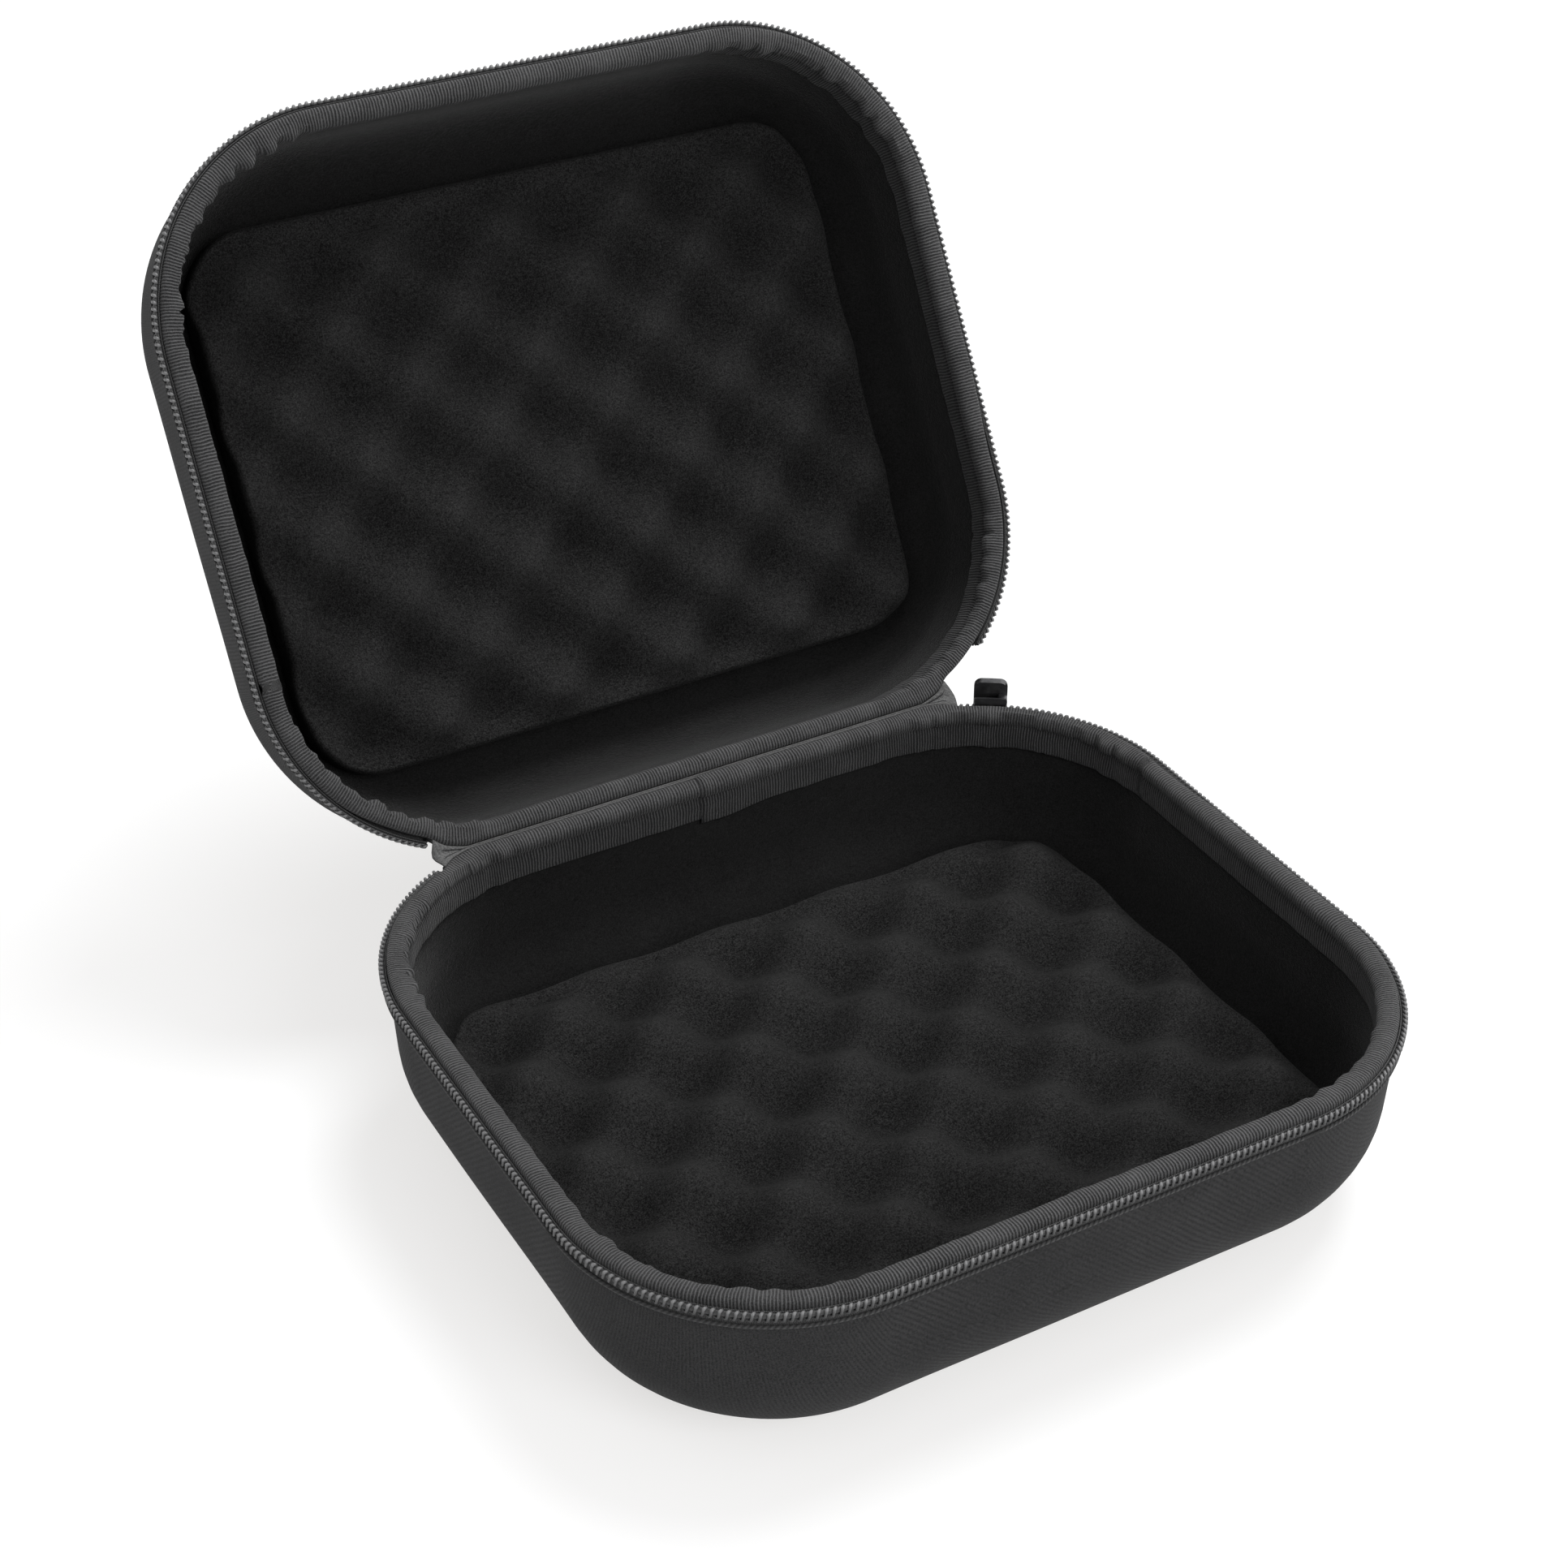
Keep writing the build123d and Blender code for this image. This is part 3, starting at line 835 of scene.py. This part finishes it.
def add_sides(bm):
    """Rolls the pad's edge over, takes it straight down and closes the foot."""
    edge = [e for e in bm.edges if e.is_boundary]
    far_x, far_y = PAD_X - CORE_MARGIN, PAD_Y - CORE_MARGIN
    for i in range(1, ROLL_RINGS + SIDE_RINGS + 1):
        new = bmesh.ops.extrude_edge_only(bm, edges=edge)["geom"]
        edge = [g for g in new if isinstance(g, bmesh.types.BMEdge)]
        for vert in {v for e in edge for v in e.verts}:
            x, y = vert.co.xy
            middle = Vector((max(min(x, far_x), -far_x), max(min(y, far_y), -far_y), 0))
            out = (Vector((x, y, 0)) - middle).normalized()
            if i <= ROLL_RINGS:
                a, b = (math.pi / 2 / ROLL_RINGS * ring for ring in (i, i - 1))
                vert.co += out * SIDE_ROLL * 0.45 * (math.sin(a) - math.sin(b))
                vert.co.z -= SIDE_ROLL * (math.cos(b) - math.cos(a))
            else:
                down = (i - ROLL_RINGS) / SIDE_RINGS
                vert.co.z = -SIDE_ROLL + down * (PAD_FOOT - PAD_TOP + SIDE_ROLL)
    bmesh.ops.holes_fill(bm, edges=edge, sides=0)


def wavy_pad(name, finish, node, body, lid, shift):
    """A foam pad cut in waves and covered with pile, with sides that follow the waves."""
    bm = bmesh.new()
    bmesh.ops.create_grid(bm, x_segments=PAD_CELLS[0], y_segments=PAD_CELLS[1], size=1.0)
    depth = bm.verts.layers.float.new("distance")
    round_off(bm)
    add_sides(bm)
    bm.normal_update()
    for vert in bm.verts:
        x, y, z = vert.co
        share = smooth(z, PAD_FOOT - PAD_TOP, 0.0)
        lump = noise.noise(Vector((x, y, 1.0)) * 45) * 0.5 * MM
        by_end = 1 - smooth(PAD_X - abs(x), 0, 9 * MM)
        by_side = 1 - smooth(PAD_Y - abs(y), 0, 9 * MM)
        sink = wave_depth(x, y, shift) - 0.3 * MM + lump
        sink += (EDGE_SINK - sink) * max(0.55 * by_end, 0.9 * by_side)
        # This value paints shade on the cover: darker down in the hollows, darkest on the pad's sides.
        vert[depth] = sink / (2 * WAVE) + (1 - share)
        height = (z - PAD_FOOT + PAD_TOP) / (PAD_TOP - PAD_FOOT)
        vert.co.z = PAD_TOP + z - max(sink, 0) * min(1, height)
        bulge = (1 - wave_depth(x, y, shift) / WAVE) * 0.9 * MM
        bulge *= by_end * (1 - 0.8 * by_side) * share
        vert.co.x += math.copysign(bulge, x) - lid * LID_SHIFT
        keep_off_lining(vert)
    bmesh.ops.recalc_face_normals(bm, faces=bm.faces)
    lay_out(bm)
    pad = stand_up(name, bm, finish, body, [node], lid)
    return pad


# ---------------------------------------------------------------- hinge fabric

HINGE_SIDE = [(2.95, 6.5), (2.7, 5.0), (2.6, 3.4), (2.6, 1.9), (2.75, 0.9)]  # up one rim
STRIPES = 96  # faces along the hinge


def hinge_points(s, lift):
    """The line that the hinge fabric takes from the base's ledge to the lid's.

    That far from the back's middle, and lifted outwards by so many mm.
    """
    full = [fullness(s) / MM * (1 - smooth(d, 1.5, 6.0)) for _, d in HINGE_SIDE]
    side = [(w - lift - f, d) for (w, d), f in zip(HINGE_SIDE, full)]
    base = [rim_place(s, *point) for point in side]
    lid = [LID @ rim_place(-s, *point) for point in side]
    gap = (lid[-1] - base[-1]).length
    out = out_of(base[-1].x, base[-1].y)
    away = (out + (LID.to_3x3() @ Vector((-out.x, out.y, 0)))).normalized()
    middle = (base[-1] + lid[-1]) / 2 + away * (0.25 * gap + 0.2 * MM)
    return base + [middle] + lid[::-1]


def hinge_line(s, lift):
    """The same line, rounded through its points."""
    knots = hinge_points(s, lift)
    line = []
    for i, (p1, p2) in enumerate(zip(knots, knots[1:])):
        p0, p3 = knots[max(i - 1, 0)], knots[min(i + 2, len(knots) - 1)]
        for t in (0, 1 / 3, 2 / 3):
            bend = (2 * p0 - 5 * p1 + 4 * p2 - p3) * t + (3 * p1 - p0 - 3 * p2 + p3) * t * t
            line.append(p1 + ((p2 - p0) + bend) * t / 2)
    return line + [knots[-1]]


def hinge_cloth(name, finish, node, lift):
    """The cloth across the hinge: a small web where the two rims part at its ends."""
    bm = bmesh.new()
    reach = ROW_END - 1 * MM
    lines = [hinge_line(-reach + 2 * reach * i / STRIPES, lift) for i in range(STRIPES + 1)]
    across = len(lines[0]) - 1
    bmesh.ops.create_grid(bm, x_segments=STRIPES, y_segments=across, size=1.0)
    cloth = bm.loops.layers.uv.new("cloth")
    for face in bm.faces:
        for corner in face.loops:
            corner[cloth].uv = corner.vert.co.x * reach, corner.vert.co.y * 7 * MM
    for vert in bm.verts:
        i, k = round((vert.co.x + 1) / 2 * STRIPES), round((vert.co.y + 1) / 2 * across)
        vert.co = lines[i][k]
    bm.normal_update()
    behind = sum(f.normal.y * f.calc_area() for f in bm.faces)
    if behind < 0:
        bmesh.ops.reverse_faces(bm, faces=bm.faces)
    strip = stand_up(name, bm, finish, None, [node])
    thick = strip.modifiers.new("thickness", "SOLIDIFY")
    thick.thickness, thick.offset = 0.35 * MM, 0.0
    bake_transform(strip, "base", "lid", start=rim_place(0, 2.95, 6.5), end=LID @ rim_place(0, 2.95, 6.5))
    return strip


# ---------------------------------------------------------------- the room


def build_stage():
    """A pale floor that looks brighter than the light it throws back on the case."""
    floor = bmesh.new()
    bmesh.ops.create_grid(floor, x_segments=1, y_segments=1, size=6.0)
    mesh = bpy.data.meshes.new("floor")
    floor.to_mesh(mesh)
    floor.free()
    plane = bpy.data.objects.new("floor", mesh)
    bpy.context.collection.objects.link(plane)
    f = Finish("pale_floor", roughness=1.0, specular_ior_level=0.0, emission_strength=1.0)
    path = f.node("ShaderNodeLightPath")
    seen = path.maths("MAXIMUM", Wire(f, path.socket.node.outputs["Is Glossy Ray"]))
    f.paint(base_color=f.mix(seen, grey(0.6), (0.40, 0.41, 0.42)))
    f.paint(emission_color=f.mix(seen, grey(0.0), (0.66, 0.65, 0.64)))
    mesh.materials.append(f.material)


def soft_lamp(name, place, aim, size, watts):
    lamp = bpy.data.lights.new(name, "AREA")
    lamp.shape, lamp.size, lamp.energy = "DISK", size, watts
    obj = bpy.data.objects.new(name, lamp)
    obj.location = place
    obj.rotation_mode = "QUATERNION"
    obj.rotation_quaternion = (Vector(aim) - Vector(place)).to_track_quat("-Z", "Y")
    bpy.context.collection.objects.link(obj)


def light_room():
    """An even room, whiter where it is seen than where it lights, a key lamp and a fill."""
    world = bpy.data.worlds.new("room")
    bpy.context.scene.world = world
    world.use_nodes = True
    tree = world.node_tree
    plain = tree.nodes["Background"]
    plain.inputs["Color"].default_value = (1, 1, 1, 1)
    path = tree.nodes.new("ShaderNodeLightPath")
    seen = tree.nodes.new("ShaderNodeMath")
    seen.operation = "MAXIMUM"
    tree.links.new(path.outputs["Is Camera Ray"], seen.inputs[0])
    tree.links.new(path.outputs["Is Glossy Ray"], seen.inputs[1])
    strength = tree.nodes.new("ShaderNodeMapRange")
    strength.inputs["To Min"].default_value = 0.58
    strength.inputs["To Max"].default_value = 1.0
    tree.links.new(seen.outputs[0], strength.inputs["Value"])
    tree.links.new(strength.outputs["Result"], plain.inputs["Strength"])
    soft_lamp("key", (0.65, 0.28, 1.45), (0, 0.05, 0.05), 0.9, 19)
    soft_lamp("fill", (0.35, -1.7, 1.2), (0, 0.1, 0.1), 1.2, 16)


def set_camera():
    """Looks down at the open case from the front left."""
    right = Vector((0.87158, -0.49025, -0.00214))
    down = Vector((-0.27721, -0.48923, -0.82693))
    ahead = Vector((0.40436, 0.72133, -0.5623))
    lens = bpy.data.cameras.new("camera")
    lens.sensor_width, lens.lens = 36.0, 68.495
    lens.clip_start, lens.clip_end = 0.05, 30
    obj = bpy.data.objects.new("camera", lens)
    turned = Matrix((right, -down, -ahead)).transposed().to_4x4()
    obj.matrix_world = Matrix.Translation((-0.32685, -0.52811, 0.53528)) @ turned
    bpy.context.collection.objects.link(obj)
    bpy.context.scene.camera = obj


# ---------------------------------------------------------------- putting it together

set_camera()
build_stage()
light_room()

charcoal, worn = grey(0.010, 0.0005), grey(0.042, 0.001)
twill = moulded_twill("shell_twill", math.radians(135), 1.5 * MM, charcoal, worn)
lid_twill = moulded_twill("lid_twill", 0.0, 1.05 * MM, charcoal, worn)
ribbon = ribbed_ribbon("binding_ribbon", grey(0.007, 0.0005), grey(0.098, 0.002))
lining = short_pile("lining_pile", grey(0.005), grey(0.028), 0.18, 0.6, 0.2)
cover = short_pile("pad_pile", grey(0.005), grey(0.045), 0.02, 0.8, 0.14, 0.22)
tape = woven_tape("zip_tape_weave", grey(0.03, 0.0005), grey(0.11, 0.001))
nylon = nylon_loop("zip_loops", grey(0.014, 0.0005), grey(0.18, 0.003))
yarn = twisted_yarn("edge_yarn", grey(0.016, 0.0005), grey(0.055, 0.001))
face_slant, back_slant = math.radians(45), math.radians(30)
face_light = grey(0.045, 0.001)
hinge_face = moulded_twill("hinge_face_twill", face_slant, 1.2 * MM, charcoal, face_light)
hinge_back = moulded_twill("hinge_back_twill", back_slant, 0.7 * MM, grey(0.05), grey(0.14))
metal, rubber = black_nickel("black_nickel"), grip_rubber("grip_rubber")

for node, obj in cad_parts.items():
    if node.endswith("_lining"):
        finish = lining
    elif node.startswith("slider") or node == "pull_tab":
        finish = metal
    elif node == "pull_grip":
        finish = rubber
    else:
        continue
    obj.data.materials.clear()
    obj.data.materials.append(finish)

# The lid's outline runs the other way round, as it is turned over.
base_span, lid_span = (ROW_END, AROUND - ROW_END), (ROW_END, AROUND - BERTH_END)
LAPPED, BUTTED = (-0.003, AROUND + 0.014), (0.0, AROUND)  # where the ribbons start and stop
halves = (  # the last two are the folds' seed and where the pad's waves lie
    ("base", False, twill, base_span, LAPPED, 11.0, (0.010, 0.004)),
    ("lid", True, lid_twill, lid_span, BUTTED, 3.0, (0.0624, 0.0517)),
)
for half, lid, outer, span, joined, seed, waves in halves:
    shell_skin(f"{half}_shell_skin", outer, f"{half}_shell", half, lid)
    binding(f"{half}_ribbon", ribbon, f"{half}_binding", half, lid, seed, *joined)
    zip_tape(f"{half}_tape", tape, f"{half}_zip_tape", half, lid, span)
    edge_cord(f"{half}_cord", yarn, f"{half}_edge_cord", half, lid, span)
    zip_row(f"{half}_zip_loops", nylon, f"{half}_zip_coil", half, lid, span)
    wavy_pad(f"{half}_pad", cover, f"{half}_foam", half, lid, waves)

hinge_cloth("hinge_outer_cloth", hinge_face, "hinge_strip", 0.25)
hinge_cloth("hinge_inner_cloth", hinge_back, "hinge_backing", -0.2)

bpy.context.scene.view_settings.view_transform = "Standard"
